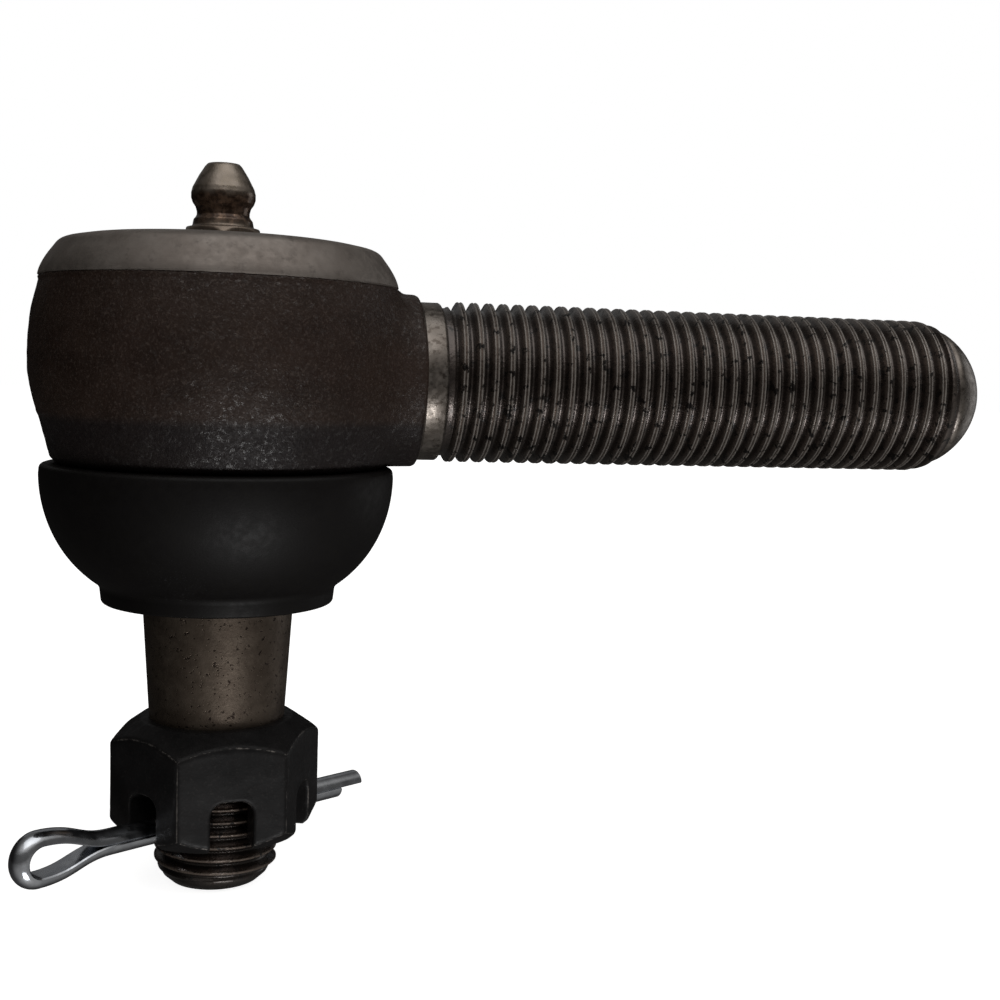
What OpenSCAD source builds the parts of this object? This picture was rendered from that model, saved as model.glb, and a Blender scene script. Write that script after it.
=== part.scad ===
// Tie rod end: a greasable ball joint with a threaded shank forged in one piece with its socket.
// Frame: the origin is the ball centre, +X runs out along the shank, +Z points up through the
// grease nipple and -Z runs down the ball stud. All sizes are in millimetres.

/* [Shank] */
// Nominal diameter of the left-hand shank thread
shank_d = 16; // [15:0.5:17]
// Pitch of the shank thread
shank_pitch = 1.5; // [1.25:0.25:2]
// Distance from the ball centre to the rounded end of the shank
shank_reach = 79.4; // [70:0.2:120]
// Distance from the ball centre to the end face of the forged neck
neck_reach = 19; // [18.8:0.1:19.6]

/* [Socket] */
// Largest outside diameter of the socket
socket_d = 35.8; // [35.6:0.1:36.6]
// Diameter of the bore that holds the seats and the spring
bore_d = 29; // [28.6:0.1:29.2]
// Height of the rolled rim above the ball centre
rim_top_z = 12.7; // [12.6:0.1:13]
// Depth of the socket's bottom face below the ball centre
socket_bottom_z = -8.5; // [-8.8:0.1:-8.3]

/* [Ball stud] */
// Diameter of the ball
ball_d = 19.6; // [19.2:0.1:19.6]
// Largest swing of the stud from the upright, in degrees
swing_deg = 22; // [10:1:22]
// Diameter of the taper at its large end
taper_d = 14.7; // [14.4:0.1:15]
// Nominal diameter of the stud thread
stud_d = 12; // [12:0.1:12.2]
// Pitch of the stud thread
stud_pitch = 1.25; // [1:0.25:1.5]
// Depth of the stud's end below the ball centre
stud_end_z = -50; // [-53:0.5:-49]

/* [Castle nut] */
// Width of the nut across its flats
nut_af = 18; // [18:0.5:20]
// Height of the nut
nut_h = 11.3; // [10.5:0.1:12]
// Width of the six slots in the nut
slot_w = 4; // [3.8:0.1:4.4]
// Depth of the six slots in the nut
slot_depth = 4.9; // [4.6:0.1:5.4]

/* [Cotter pin] */
// Diameter across the two half-round legs together
cotter_d = 2.5; // [2.3:0.1:2.7]
// Distance from the stud axis to the far side of the eye
eye_reach = 22.8; // [20:0.2:26]
// Distance from the stud axis to the tip of the long leg
leg_reach = 19.5; // [15:0.5:24]

/* [Dust boot] */
// Largest outside diameter of the boot
boot_d = 33.8; // [33:0.1:35]
// Depth of the boot's lower face below the ball centre
boot_bottom_z = -22; // [-23:0.1:-21.5]

/* [Hidden] */
$fn = 96;

// Fits and allowances
seat_gap = 0.05;
bore_gap = 0.05;
thread_gap = 0.02;
thread_depth = 0.61;
minor_share = 0.18;

// Shank
shank_r = shank_d / 2;
collar_r = 7.85;
undercut_r = 7.3;
collar_end = neck_reach + 2.2;
thread_start = collar_end + 0.7;
thread_end = shank_reach - 6.4;
end_round = 8.4;
neck_face_r = 8.5;

// Socket heights, from the rim down
ledge_z = -3.9;
belly_z = 1.5;
rim_foot_z = 8.8;
rim_foot_r = 17;
belly_r = socket_d / 2;
lower_arc_r = 18;
upper_arc_r = 25;
rim_side_r = 16.4;
rim_side_z = rim_top_z - 2.4;
rim_corner_r = 15.1;
rim_corner_z = rim_top_z - 0.4;
rim_lip_r = 11.8;
rim_lip_t = 0.8;
bottom_r = 15.9;
bore_r = bore_d / 2;
spigot_r = 14.4;
spigot_z = socket_bottom_z - 2.9;
bore_floor_z = -5.3;
neck_room = 0.83;

// Cover plate
cover_t = 1.8;
cover_top_z = rim_top_z - rim_lip_t;
cover_z = cover_top_z - cover_t;
cover_boss_r = 6;
cover_boss_h = 1.1;

// Grease nipple
nipple_z = cover_top_z + cover_boss_h;
nipple_thread_r = 3;
nipple_bottom_z = cover_z + 0.15;
nipple_hex_af = 7;
nipple_hex_h = 1.1;
nipple_top_z = 20.2;
nipple_ball_r = 1.1;
nipple_bore_r = 1.25;
nipple_cone_z = nipple_top_z - 1.15;
nipple_ball_z = nipple_cone_z - 0.05;
nipple_mouth_r = 0.7;
nipple_spring_wire = 0.28;
nipple_spring_r = 0.85;
nipple_spring_top = nipple_ball_z - 1;
nipple_step_z = nipple_z + 1.6;
hex_top_z = nipple_z + nipple_hex_h;

// Seats and disc spring
ball_r = ball_d / 2;
seat_r = ball_r + seat_gap;
seat_split_z = 0.8;
upper_seat_top_z = 8.8;
upper_seat_hole_r = 6;
lower_seat_top_z = -0.6;
disc_t = 0.7;
disc_in_r = 6.8;
disc_out_r = bore_r - 0.9;

// Ball stud
ball_flat_z = 8.4;
neck_r = 5.5;
neck_z = -18.4;
taper_top_z = -21.2;
taper_end_z = -33.5;
taper_top_r = taper_d / 2;
taper_end_r = taper_top_r - (taper_top_z - taper_end_z) / 16;
stud_r = stud_d / 2;
stud_thread_z = taper_end_z - 0.7;
stud_chamfer = 1.2;

// Castle nut and cotter pin
nut_top_z = taper_end_z;
nut_bottom_z = nut_top_z - nut_h;
nut_turn = 10;
slot_floor_z = nut_bottom_z + slot_depth;
slot_round = 1.3;
pin_z = -43.85;
pin_angle = 40;
pin_tilt = 2;
pin_hole_r = 1.6;
cotter_r = cotter_d / 2;
eye_r = 1.4;
eye_wire = 1.2;
short_leg = 3;
nut_reach = nut_af / 2;

// Dust boot
boot_r = boot_d / 2;
boot_wall = 1.9;
boot_top_z = socket_bottom_z - 0.15;
boot_crown_z = -9.6;
boot_curve_r = 11.45;
boot_curve_h = 12.5;
boot_curve_end = -57.5;
boot_lip_r = 11.3;
boot_lip_h = 1.5;
boot_floor_t = 2.6;
ring_wall = 0.7;
lip_ring_r = 9.6;
lip_ring_wire = 0.55;

// Points of an arc about [cx, cz], from angle a0 to a1
function arc(cx, cz, r, a0, a1, steps) =
    [for (i = [0:steps]) let (a = a0 + (a1 - a0) * i / steps) [cx + r * cos(a), cz + r * sin(a)]];

// Angle at which an arc of radius r, with its crown at z0, stands at height z
function arc_angle(r, z0, z) = asin((z - z0) / r);

// Radius of the socket's mouth at height z, clear of the stud's neck at full swing
function mouth_r(z) = neck_r / cos(swing_deg) - z * tan(swing_deg) + neck_room;

// Turns a profile of [distance along X, radius] points into a solid round the X axis
module turned_x(points) {
    rotate([0, 90, 0])
        rotate_extrude()
            polygon([for (p = points) [p[1], p[0]]]);
}

// Profile of a screw thread as rings: crests at r, roots one thread depth inside it
function ring_thread(start, end, pitch, r) = let (
        turns = floor((end - start) / pitch),
        depth = thread_depth * pitch,
        crest = minor_share * pitch,
        root = 0.2 * pitch)
    [for (i = [0:turns - 1], k = [0:3]) let (x = start + i * pitch)
        k == 0 ? [x, r]
        : k == 1 ? [x + crest, r]
        : k == 2 ? [x + (crest + pitch - root) / 2, r - depth]
        : [x + (crest + pitch + root) / 2, r - depth]];

// Outside of the socket from the bottom face up to the lip of the rolled rim
function socket_outline() = concat(
    [[spigot_r, socket_bottom_z], [bottom_r - 0.5, socket_bottom_z], [bottom_r, socket_bottom_z + 0.5]],
    arc(belly_r - lower_arc_r, belly_z, lower_arc_r,
        arc_angle(lower_arc_r, belly_z, ledge_z), 0, 6),
    arc(belly_r - upper_arc_r, belly_z, upper_arc_r,
        3, arc_angle(upper_arc_r, belly_z, rim_foot_z), 5),
    [[rim_foot_r, rim_foot_z + 0.2], [rim_side_r, rim_side_z], [rim_corner_r + 0.25, rim_corner_z - 0.35],
     [rim_corner_r, rim_corner_z - 0.08], [rim_corner_r - 0.3, rim_corner_z], [rim_lip_r + 0.3, rim_top_z],
     [rim_lip_r, rim_top_z - 0.3], [rim_lip_r, cover_top_z]]);

// The forged neck flares from the shank into the side of the socket, level with its bottom face
module forged_neck() {
    difference() {
        turned_x([
            [bore_r, 0], [bore_r, 9.6], [neck_reach - 2.2, 9.2],
            [neck_reach - 1.2, neck_face_r + 0.2], [neck_reach - 0.25, neck_face_r],
            [neck_reach, neck_face_r - 0.25], [neck_reach, 0]]);
        translate([0, -belly_r, 2 * socket_bottom_z])
            cube([neck_reach + 1, socket_d, -socket_bottom_z]);
    }
}

// The plain collar, the thread and the rounded end
module shank() {
    turned_x(concat(
        [[bore_r + 2, 0], [bore_r + 2, collar_r], [collar_end, collar_r],
         [collar_end + 0.25, undercut_r], [thread_start, undercut_r]],
        ring_thread(thread_start + 0.3, thread_end, shank_pitch, shank_r),
        [[thread_end, shank_r - 0.9]],
        [for (p = arc(0, 0, 1, 73, 0, 9))
            [shank_reach - end_round + end_round * p[0], (shank_r - 0.05) * p[1]]]));
}

module socket_housing() {
    color([0.16, 0.14, 0.13])
    difference() {
        union() {
            rotate_extrude() polygon(concat([[0, socket_bottom_z]], socket_outline(),
                [[0, cover_top_z]]));
            translate([0, 0, spigot_z]) cylinder(r1 = spigot_r - 0.4, r2 = spigot_r, h = 0.4);
            translate([0, 0, spigot_z + 0.4])
                cylinder(r = spigot_r, h = socket_bottom_z - spigot_z);
            forged_neck();
            shank();
        }
        rotate_extrude() polygon([
            [0, rim_top_z + 1], [rim_lip_r, rim_top_z + 1], [rim_lip_r, cover_top_z],
            [bore_r + 0.3, cover_top_z], [bore_r + 0.3, cover_z], [bore_r, cover_z],
            [bore_r, bore_floor_z], [mouth_r(bore_floor_z), bore_floor_z],
            [mouth_r(spigot_z), spigot_z], [mouth_r(spigot_z), spigot_z - 0.1], [0, spigot_z - 0.1]]);
    }
}

module cover_plate() {
    color([0.36, 0.34, 0.32])
    rotate_extrude() polygon([
        [nipple_thread_r, cover_z], [bore_r + 0.3, cover_z], [bore_r + 0.3, cover_top_z],
        [cover_boss_r + 1.2, cover_top_z], [cover_boss_r, nipple_z], [nipple_thread_r, nipple_z]]);
}

// Threaded body with a hexagon and a round head for the grease coupler
module grease_nipple() {
    color([0.52, 0.47, 0.4])
    difference() {
        union() {
            translate([0, 0, nipple_bottom_z])
                cylinder(r = nipple_thread_r, h = nipple_z - nipple_bottom_z);
            intersection() {
                translate([0, 0, nipple_z]) cylinder(d = nipple_hex_af / cos(30), h = nipple_hex_h, $fn = 6);
                translate([0, 0, nipple_z]) cylinder(r1 = 4.35, r2 = 3.5, h = nipple_hex_h);
            }
            rotate_extrude() polygon([
                [0, hex_top_z - 0.1], [3.3, hex_top_z - 0.1], [2.85, hex_top_z + 0.3],
                [2.75, hex_top_z + 0.8], [2.55, hex_top_z + 1.1], [2.55, 15.7], [2.75, 16.2],
                [3.05, 16.7], [3.05, 17.5], [2.75, 18.2], [1.7, nipple_top_z - 0.25],
                [1.45, nipple_top_z], [0, nipple_top_z]]);
        }
        // Feed bore, ball chamber and the mouth that the ball closes
        translate([0, 0, nipple_bottom_z - 0.1]) cylinder(r = 0.6, h = 8);
        translate([0, 0, nipple_step_z])
            cylinder(r = nipple_bore_r, h = nipple_cone_z - nipple_step_z);
        translate([0, 0, nipple_cone_z])
            cylinder(r1 = nipple_bore_r, r2 = nipple_mouth_r, h = nipple_top_z - nipple_cone_z);
    }
}

// Check ball that the grease gun pushes down against its spring
module nipple_ball() {
    color([0.75, 0.75, 0.76])
    translate([0, 0, nipple_ball_z]) sphere(r = nipple_ball_r);
}

// Rings stand for the turns of the check ball's coil spring
module nipple_spring() {
    turns = 5;
    rise = nipple_spring_top - nipple_step_z - nipple_spring_wire;
    color([0.6, 0.6, 0.6])
    for (i = [0:turns - 1])
        translate([0, 0, nipple_step_z + nipple_spring_wire / 2 + rise * i / (turns - 1)])
            rotate_extrude()
                translate([nipple_spring_r, 0])
                    circle(d = nipple_spring_wire, $fn = 24);
}

// Coned disc spring between the cover and the upper seat
module disc_spring() {
    color([0.35, 0.36, 0.38])
    rotate_extrude() polygon([
        [disc_in_r, cover_z], [disc_in_r, cover_z - disc_t],
        [disc_out_r, upper_seat_top_z], [disc_out_r, upper_seat_top_z + disc_t]]);
}

// Bearing seat above the ball, pressed down by the spring and free to slide in the bore
module upper_seat() {
    color([0.82, 0.8, 0.72])
    difference() {
        rotate_extrude() polygon([
            [upper_seat_hole_r, seat_split_z], [bore_r - bore_gap, seat_split_z],
            [bore_r - bore_gap, upper_seat_top_z - 0.5],
            [bore_r - bore_gap - 0.5, upper_seat_top_z], [upper_seat_hole_r, upper_seat_top_z]]);
        sphere(r = seat_r);
    }
}

// Bearing seat below the ball, held by the floor of the bore
module lower_seat() {
    color([0.82, 0.8, 0.72])
    difference() {
        rotate_extrude() polygon([
            [7, bore_floor_z], [bore_r, bore_floor_z], [bore_r, lower_seat_top_z],
            [7, lower_seat_top_z]]);
        sphere(r = seat_r);
    }
}

// Ball, neck, 1:8 taper, thread and the cross hole for the cotter pin
module ball_stud() {
    color([0.4, 0.36, 0.33])
    difference() {
        union() {
            intersection() {
                sphere(r = ball_r);
                translate([0, 0, ball_flat_z - 30]) cylinder(r = 20, h = 30);
            }
            rotate_extrude() polygon(concat(
                [[0, 0], [neck_r, 0], [neck_r, neck_z]],
                [for (p = arc(0, 0, 1, 180, 270, 5))
                    [taper_top_r + (taper_top_r - neck_r) * p[0],
                     neck_z + (neck_z - taper_top_z) * p[1]]],
                [[taper_end_r, taper_end_z], [stud_r - 0.8, taper_end_z - 0.25],
                 [stud_r - 0.8, stud_thread_z]],
                [for (p = ring_thread(-stud_thread_z, -stud_end_z - stud_chamfer, stud_pitch, stud_r))
                    [p[1], -p[0]]],
                [[stud_r - 0.3, stud_end_z + stud_chamfer], [stud_r - 1.5, stud_end_z],
                 [0, stud_end_z]]));
        }
        translate([0, 0, pin_z]) rotate([0, 90, pin_angle])
            cylinder(r = pin_hole_r, h = 30, center = true);
    }
}

// Steel ring that clamps the boot to the spigot under the socket
module boot_top_ring() {
    color([0.5, 0.5, 0.52])
    translate([0, 0, spigot_z + 0.5])
    difference() {
        cylinder(r = spigot_r + bore_gap + ring_wall, h = 1.9);
        translate([0, 0, -1]) cylinder(r = spigot_r + bore_gap, h = 4);
    }
}

// Outline of the boot's rounded side, set in from the outside by inset
function boot_side(inset, a0, a1) =
    [for (p = arc(0, 0, 1, a0, a1, 10))
        [boot_r - boot_curve_r + (boot_curve_r - inset) * p[0],
         boot_crown_z + (boot_curve_h - inset) * p[1]]];

// Rubber boot: a rounded cup from the spigot in to the lip that seals on the stud
module dust_boot() {
    ring_out = spigot_r + bore_gap + ring_wall;
    shoulder_z = boot_bottom_z + boot_lip_h;
    floor_z = boot_bottom_z + boot_floor_t;
    stud_gap = 0.02;
    color([0.05, 0.05, 0.055])
    difference() {
        rotate_extrude() polygon(concat(
            [[taper_top_r + stud_gap, boot_bottom_z], [boot_lip_r - 0.4, boot_bottom_z],
             [boot_lip_r - 0.1, boot_bottom_z + 0.3], [boot_lip_r, shoulder_z]],
            boot_side(0, boot_curve_end, 0),
            [[boot_r - 0.1, boot_top_z - 0.4], [boot_r - 0.5, boot_top_z], [ring_out, boot_top_z],
             [ring_out, spigot_z + 0.35], [spigot_r + 0.1, spigot_z + 0.35],
             [spigot_r + 0.1, spigot_z - 0.3]],
            boot_side(boot_wall, -18, boot_curve_end + 8),
            [[boot_lip_r - 0.6, floor_z], [taper_top_r + stud_gap, floor_z]]));
        // Groove that the lip ring sits in
        translate([0, 0, boot_bottom_z + boot_floor_t / 2])
            rotate_extrude() translate([lip_ring_r, 0]) circle(r = lip_ring_wire, $fn = 32);
    }
}

// Wire ring moulded into the lip of the boot
module boot_lip_ring() {
    color([0.5, 0.5, 0.52])
    translate([0, 0, boot_bottom_z + boot_floor_t / 2])
        rotate_extrude() translate([lip_ring_r, 0]) circle(r = lip_ring_wire - 0.02, $fn = 32);
}

// Hexagon nut whose lower end is slotted across each pair of flats
module castle_nut() {
    corner_r = nut_af / 2 / cos(30);
    color([0.14, 0.15, 0.17])
    difference() {
        intersection() {
            translate([0, 0, nut_bottom_z]) rotate([0, 0, nut_turn])
                cylinder(r = corner_r, h = nut_h, $fn = 6);
            rotate_extrude() polygon([
                [0, nut_bottom_z], [8.6, nut_bottom_z], [corner_r + 0.1, nut_bottom_z + 1.6],
                [corner_r + 0.1, nut_top_z - 2.2], [7.4, nut_top_z], [0, nut_top_z]]);
        }
        translate([0, 0, nut_bottom_z - 1]) cylinder(r = stud_r + thread_gap, h = nut_h + 2);
        for (i = [0:2]) rotate([0, 0, pin_angle + 60 * i]) {
            translate([-15, -slot_w / 2, nut_bottom_z - 1])
                cube([30, slot_w, slot_depth + 1 - slot_round]);
            hull()
                for (side = [-1, 1])
                    translate([0, side * (slot_w / 2 - slot_round), slot_floor_z - slot_round])
                        rotate([0, 90, 0])
                            cylinder(r = slot_round, h = 30, center = true);
        }
    }
}

// One half-round leg from x0 to x1, the flat side facing down when up is 1
module half_leg(x0, x1, up) {
    translate([x0, 0, up * 0.02]) rotate([90, 0, 90])
        linear_extrude(x1 - x0)
            intersection() {
                circle(r = cotter_r, $fn = 32);
                translate([-5, up > 0 ? 0 : -10]) square([10, 10]);
            }
}

// Split pin through the slots and the stud: an open eye on one side, two straight legs beyond
module cotter_pin() {
    bow_r = eye_r + eye_wire;
    eye_x = bow_r - eye_reach;
    neck_x = -nut_reach - 1.5;
    color([0.72, 0.73, 0.75])
    translate([0, 0, pin_z]) rotate([0, pin_tilt, pin_angle]) {
        half_leg(neck_x, leg_reach, 1);
        half_leg(neck_x, leg_reach - short_leg, -1);
        // The eye is a round bow closed by two straight sides that run down to the legs
        rotate([90, 0, 0]) linear_extrude(cotter_d * 0.8, center = true)
            difference() {
                union() {
                    translate([eye_x, 0]) circle(r = bow_r);
                    polygon([[eye_x + 0.5, bow_r - 0.05], [neck_x + 0.5, cotter_r],
                        [neck_x + 0.5, -cotter_r], [eye_x + 0.5, 0.05 - bow_r]]);
                }
                translate([eye_x, 0]) circle(r = eye_r);
                polygon([[eye_x, eye_r], [eye_x + 0.3, eye_r], [neck_x, 0.1], [neck_x, -0.1],
                    [eye_x + 0.3, -eye_r], [eye_x, -eye_r]]);
            }
    }
}

socket_housing();
cover_plate();
grease_nipple();
nipple_ball();
nipple_spring();
disc_spring();
upper_seat();
lower_seat();
ball_stud();
boot_top_ring();
dust_boot();
boot_lip_ring();
castle_nut();
cotter_pin();
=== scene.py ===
"""Looks of the tie rod end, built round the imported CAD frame.

Shapes are worked out in millimetres in the frame of the part: the origin is the ball centre, +X runs
out along the shank and +Z up through the grease nipple. They become metres when a mesh is made.
"""

import math

import bmesh
import bpy
import numpy as np
from mathutils import Matrix, Vector, noise


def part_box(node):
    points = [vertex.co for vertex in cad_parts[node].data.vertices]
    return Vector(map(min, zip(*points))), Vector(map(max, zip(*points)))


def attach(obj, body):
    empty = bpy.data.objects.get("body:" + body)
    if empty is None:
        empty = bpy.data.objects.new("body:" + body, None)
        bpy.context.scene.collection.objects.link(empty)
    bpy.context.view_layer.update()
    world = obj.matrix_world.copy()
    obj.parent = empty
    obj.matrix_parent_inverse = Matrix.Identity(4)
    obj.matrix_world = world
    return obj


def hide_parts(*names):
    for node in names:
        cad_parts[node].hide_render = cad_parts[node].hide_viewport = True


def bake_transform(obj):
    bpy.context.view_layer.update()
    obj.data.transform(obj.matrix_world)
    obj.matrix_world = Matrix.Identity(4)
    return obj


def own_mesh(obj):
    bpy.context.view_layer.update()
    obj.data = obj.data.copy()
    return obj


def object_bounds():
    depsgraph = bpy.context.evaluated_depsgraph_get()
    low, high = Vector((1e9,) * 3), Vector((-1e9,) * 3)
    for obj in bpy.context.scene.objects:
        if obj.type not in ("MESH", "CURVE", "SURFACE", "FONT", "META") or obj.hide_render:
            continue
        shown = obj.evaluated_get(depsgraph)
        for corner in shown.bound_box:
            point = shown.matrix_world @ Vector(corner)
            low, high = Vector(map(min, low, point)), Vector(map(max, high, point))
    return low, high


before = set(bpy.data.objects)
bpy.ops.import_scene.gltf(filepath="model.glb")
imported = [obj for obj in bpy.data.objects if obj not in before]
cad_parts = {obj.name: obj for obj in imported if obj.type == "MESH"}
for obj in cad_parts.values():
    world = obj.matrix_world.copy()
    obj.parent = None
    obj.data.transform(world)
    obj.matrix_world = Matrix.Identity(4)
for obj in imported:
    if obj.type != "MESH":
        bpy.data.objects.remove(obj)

CAD_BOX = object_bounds()
MM = 0.001
TAU = 2 * math.pi


def box_mm(node):
    """Lowest and highest corner of a CAD node, in millimetres."""
    lo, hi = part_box(node)
    return lo / MM, hi / MM


HOUSE_LO, HOUSE_HI = box_mm("socket_housing")
COVER_LO, COVER_HI = box_mm("cover_plate")
NIPPLE_LO, NIPPLE_HI = box_mm("grease_nipple")
STUD_LO, STUD_HI = box_mm("ball_stud")
BOOT_LO, BOOT_HI = box_mm("dust_boot")
NUT_LO, NUT_HI = box_mm("castle_nut")

# Socket and shank
BELLY_R = -HOUSE_LO.x
BELLY_Z = 1.5
LEDGE_Z = -3.9
BORE_R = COVER_HI.x - 0.3
RIM_TOP = HOUSE_HI.z
RIM_FOOT = 8.8
RIM_FOOT_R = 17.0
SPIGOT_Z = HOUSE_LO.z
SPIGOT_R = 14.4
BOTTOM_Z = SPIGOT_Z + 2.9
BOTTOM_R = 15.9
NECK_END = 19.0
NECK_R = 8.5
SHANK_END = HOUSE_HI.x
SHANK_R = 8.0
COLLAR_R = 7.85
UNDERCUT_R = 7.36
THREAD_START = NECK_END + 2.75
THREAD_END = SHANK_END - 4.9
SHANK_PITCH = 1.5
SHANK_THREAD_DEPTH = 0.86
END_ROUND = 8.4

# Stud
BALL_R = STUD_HI.x
STUD_END = STUD_LO.z
STUD_NECK_R = 5.5
STUD_NECK_Z = -18.4
TAPER_TOP = -21.2
TAPER_TOP_R = 7.35
TAPER_LENGTH = 12.3
TAPER_SLOPE = 1 / 16
TAPER_END = NUT_HI.z
TAPER_END_R = 6.58
STUD_R = 6.0
STUD_PITCH = 1.25
STUD_THREAD_DEPTH = 0.76
PIN_HOLE_R = 1.6
PIN_Z = -43.85
PIN_TURN = math.radians(40)
PIN_TILT = math.radians(2)

# Nut
NUT_FLAT = 9.0
NUT_TURN = math.radians(10)
SLOT_HALF = 2.0
SLOT_ROUND = 1.3
SLOT_ROOF = NUT_LO.z + 4.9


# ---------------------------------------------------------------- points and outlines

def arc(cx, cz, r, a0, a1, steps):
    """Points of an arc about (cx, cz) from angle a0 to a1, in degrees."""
    angles = [math.radians(a0 + (a1 - a0) * i / steps) for i in range(steps + 1)]
    return [(cx + r * math.cos(a), cz + r * math.sin(a)) for a in angles]


def ellipse(cx, cz, rx, rz, a0, a1, steps):
    """Points of an upright ellipse from angle a0 to a1, in degrees."""
    angles = [math.radians(a0 + (a1 - a0) * i / steps) for i in range(steps + 1)]
    return [(cx + rx * math.cos(a), cz + rz * math.sin(a)) for a in angles]


def curve(a, b, c, steps):
    """Points of a curve from a to c that is pulled towards b."""
    shares = [i / steps for i in range(steps + 1)]
    return [tuple((1 - t) ** 2 * p + 2 * t * (1 - t) * q + t * t * r for p, q, r in zip(a, b, c))
            for t in shares]


def smoothstep(x, low, high):
    """Goes smoothly from 0 at low to 1 at high."""
    t = np.clip((x - low) / (high - low), 0, 1)
    return t * t * (3 - 2 * t)


def grain(points, size, octaves=3, seed=0.0):
    """Fractal noise of about -1 to 1 at each point, with features of that size in millimetres."""
    shift = Vector((seed, 3.1 * seed, 7.7 * seed))
    return np.array([noise.fractal(Vector(p) / size + shift, 1.0, 2.1, octaves) for p in points])


def end_radius(along):
    """Radius of the shank's rounded end at a distance from the ball centre."""
    share = np.clip((along - SHANK_END + END_ROUND) / END_ROUND, 0, 1)
    return SHANK_R * np.sqrt(1 - share * share)


# ---------------------------------------------------------------- meshes

def finish_mesh(name, verts, faces, material_index=None, merge=0.0, sharp_deg=None):
    """Makes a mesh object from points in millimetres, with its normals outwards."""
    mesh = bpy.data.meshes.new(name)
    mesh.from_pydata((np.asarray(verts, float) * MM).tolist(), [], [tuple(f) for f in faces])
    if material_index is not None:
        mesh.polygons.foreach_set("material_index", np.asarray(material_index, np.int32))
    bm = bmesh.new()
    bm.from_mesh(mesh)
    if merge:
        bmesh.ops.remove_doubles(bm, verts=bm.verts, dist=merge * MM)
        bmesh.ops.dissolve_degenerate(bm, edges=bm.edges, dist=merge * MM * 0.1)
    bmesh.ops.recalc_face_normals(bm, faces=bm.faces)
    bm.to_mesh(mesh)
    bm.free()
    mesh.shade_smooth()
    if sharp_deg:
        mesh.set_sharp_from_angle(angle=math.radians(sharp_deg))
    obj = bpy.data.objects.new(name, mesh)
    bpy.context.scene.collection.objects.link(obj)
    return obj


def dress(obj, body, materials, nodes=()):
    """Gives a piece its body, its materials and the CAD nodes it stands for."""
    faces = obj.data.polygons
    index = np.zeros(len(faces), np.int32)
    faces.foreach_get("material_index", index)
    obj.data.materials.clear()
    for material in materials:
        obj.data.materials.append(material)
    faces.foreach_set("material_index", np.minimum(index, len(materials) - 1))
    if body:
        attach(obj, body)
    if nodes:
        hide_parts(*nodes)


def plain_rows(points, columns):
    """Rows of (height, radius) that are rings."""
    return [(np.full(columns, h), np.full(columns, r)) for r, h in points]


def thread_rows(start, end, start_r, end_r, crest_r, pitch, shape, columns, run_in, run_out):
    """Rows that follow a left-hand helix. shape lists (share of the pitch, depth under the crest)."""
    span = end - start
    turns = math.ceil(span / pitch) + 1
    turn_share = np.linspace(0, 1, columns)
    rows = []
    for turn in range(turns):
        for share, depth in shape:
            along = np.clip((turn + share - turn_share) * pitch, 0, span)
            height = start + along
            base = start_r + (end_r - start_r) * along / span
            cut = smoothstep(along, 0, run_in) * smoothstep(span - along, 0, run_out)
            rows.append((height, base + (crest_r - depth - base) * cut))
    return rows


def turned(rows, hand, axis):
    """Points and faces of a turned solid from rows of (height, radius) round the Z or the X axis.

    hand is 1 or -1 and says which way round the columns run.
    """
    columns = len(rows[0][0])
    angle = np.linspace(0, TAU, columns) * -hand
    points = []
    for height, radius in rows:
        u, v = radius * np.cos(angle), radius * np.sin(angle)
        points.append(np.stack((height, u, v) if axis == "x" else (u, v, height), 1))
    verts = np.concatenate(points)
    i, j = np.meshgrid(np.arange(len(rows) - 1), np.arange(columns - 1), indexing="ij")
    a = (i * columns + j).ravel()
    faces = np.stack((a, a + 1, a + columns + 1, a + columns), 1)
    return verts, faces


def turned_object(name, rows, hand=-1, axis="z", material_of=None, sharp_deg=35):
    """A turned solid as an object. material_of(height) gives a face's material index."""
    verts, faces = turned(rows, hand, axis)
    index = None
    if material_of:
        heights = verts[:, 0 if axis == "x" else 2]
        index = [material_of(h) for h in heights[faces].mean(1)]
    return finish_mesh(name, verts, faces, index, merge=0.003, sharp_deg=sharp_deg)


def cut_away(obj, cutter):
    """Subtracts the cutter, which is then deleted."""
    modifier = obj.modifiers.new("cut", "BOOLEAN")
    modifier.operation = "DIFFERENCE"
    modifier.object = cutter
    modifier.solver = "MANIFOLD"
    bpy.context.view_layer.update()
    evaluated = obj.evaluated_get(bpy.context.evaluated_depsgraph_get())
    mesh = bpy.data.meshes.new_from_object(evaluated)
    obj.modifiers.clear()
    obj.data = mesh
    bpy.data.objects.remove(cutter)


def sweep(name, path, normals, binormal, section):
    """Sweeps a closed section of (out, across) points along a path, with both ends closed."""
    count, width = len(path), len(section)
    across = np.asarray(binormal, float)
    verts = np.concatenate([
        p + np.outer(section[:, 0], n) + np.outer(section[:, 1], across)
        for p, n in zip(path, normals)])
    faces = [(i * width + j, i * width + (j + 1) % width,
              (i + 1) * width + (j + 1) % width, (i + 1) * width + j)
             for i in range(count - 1) for j in range(width)]
    faces += [tuple(range(width)), tuple((count - 1) * width + j for j in range(width))]
    return finish_mesh(name, verts, faces, sharp_deg=40)


# ---------------------------------------------------------------- solids from distance fields

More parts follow.
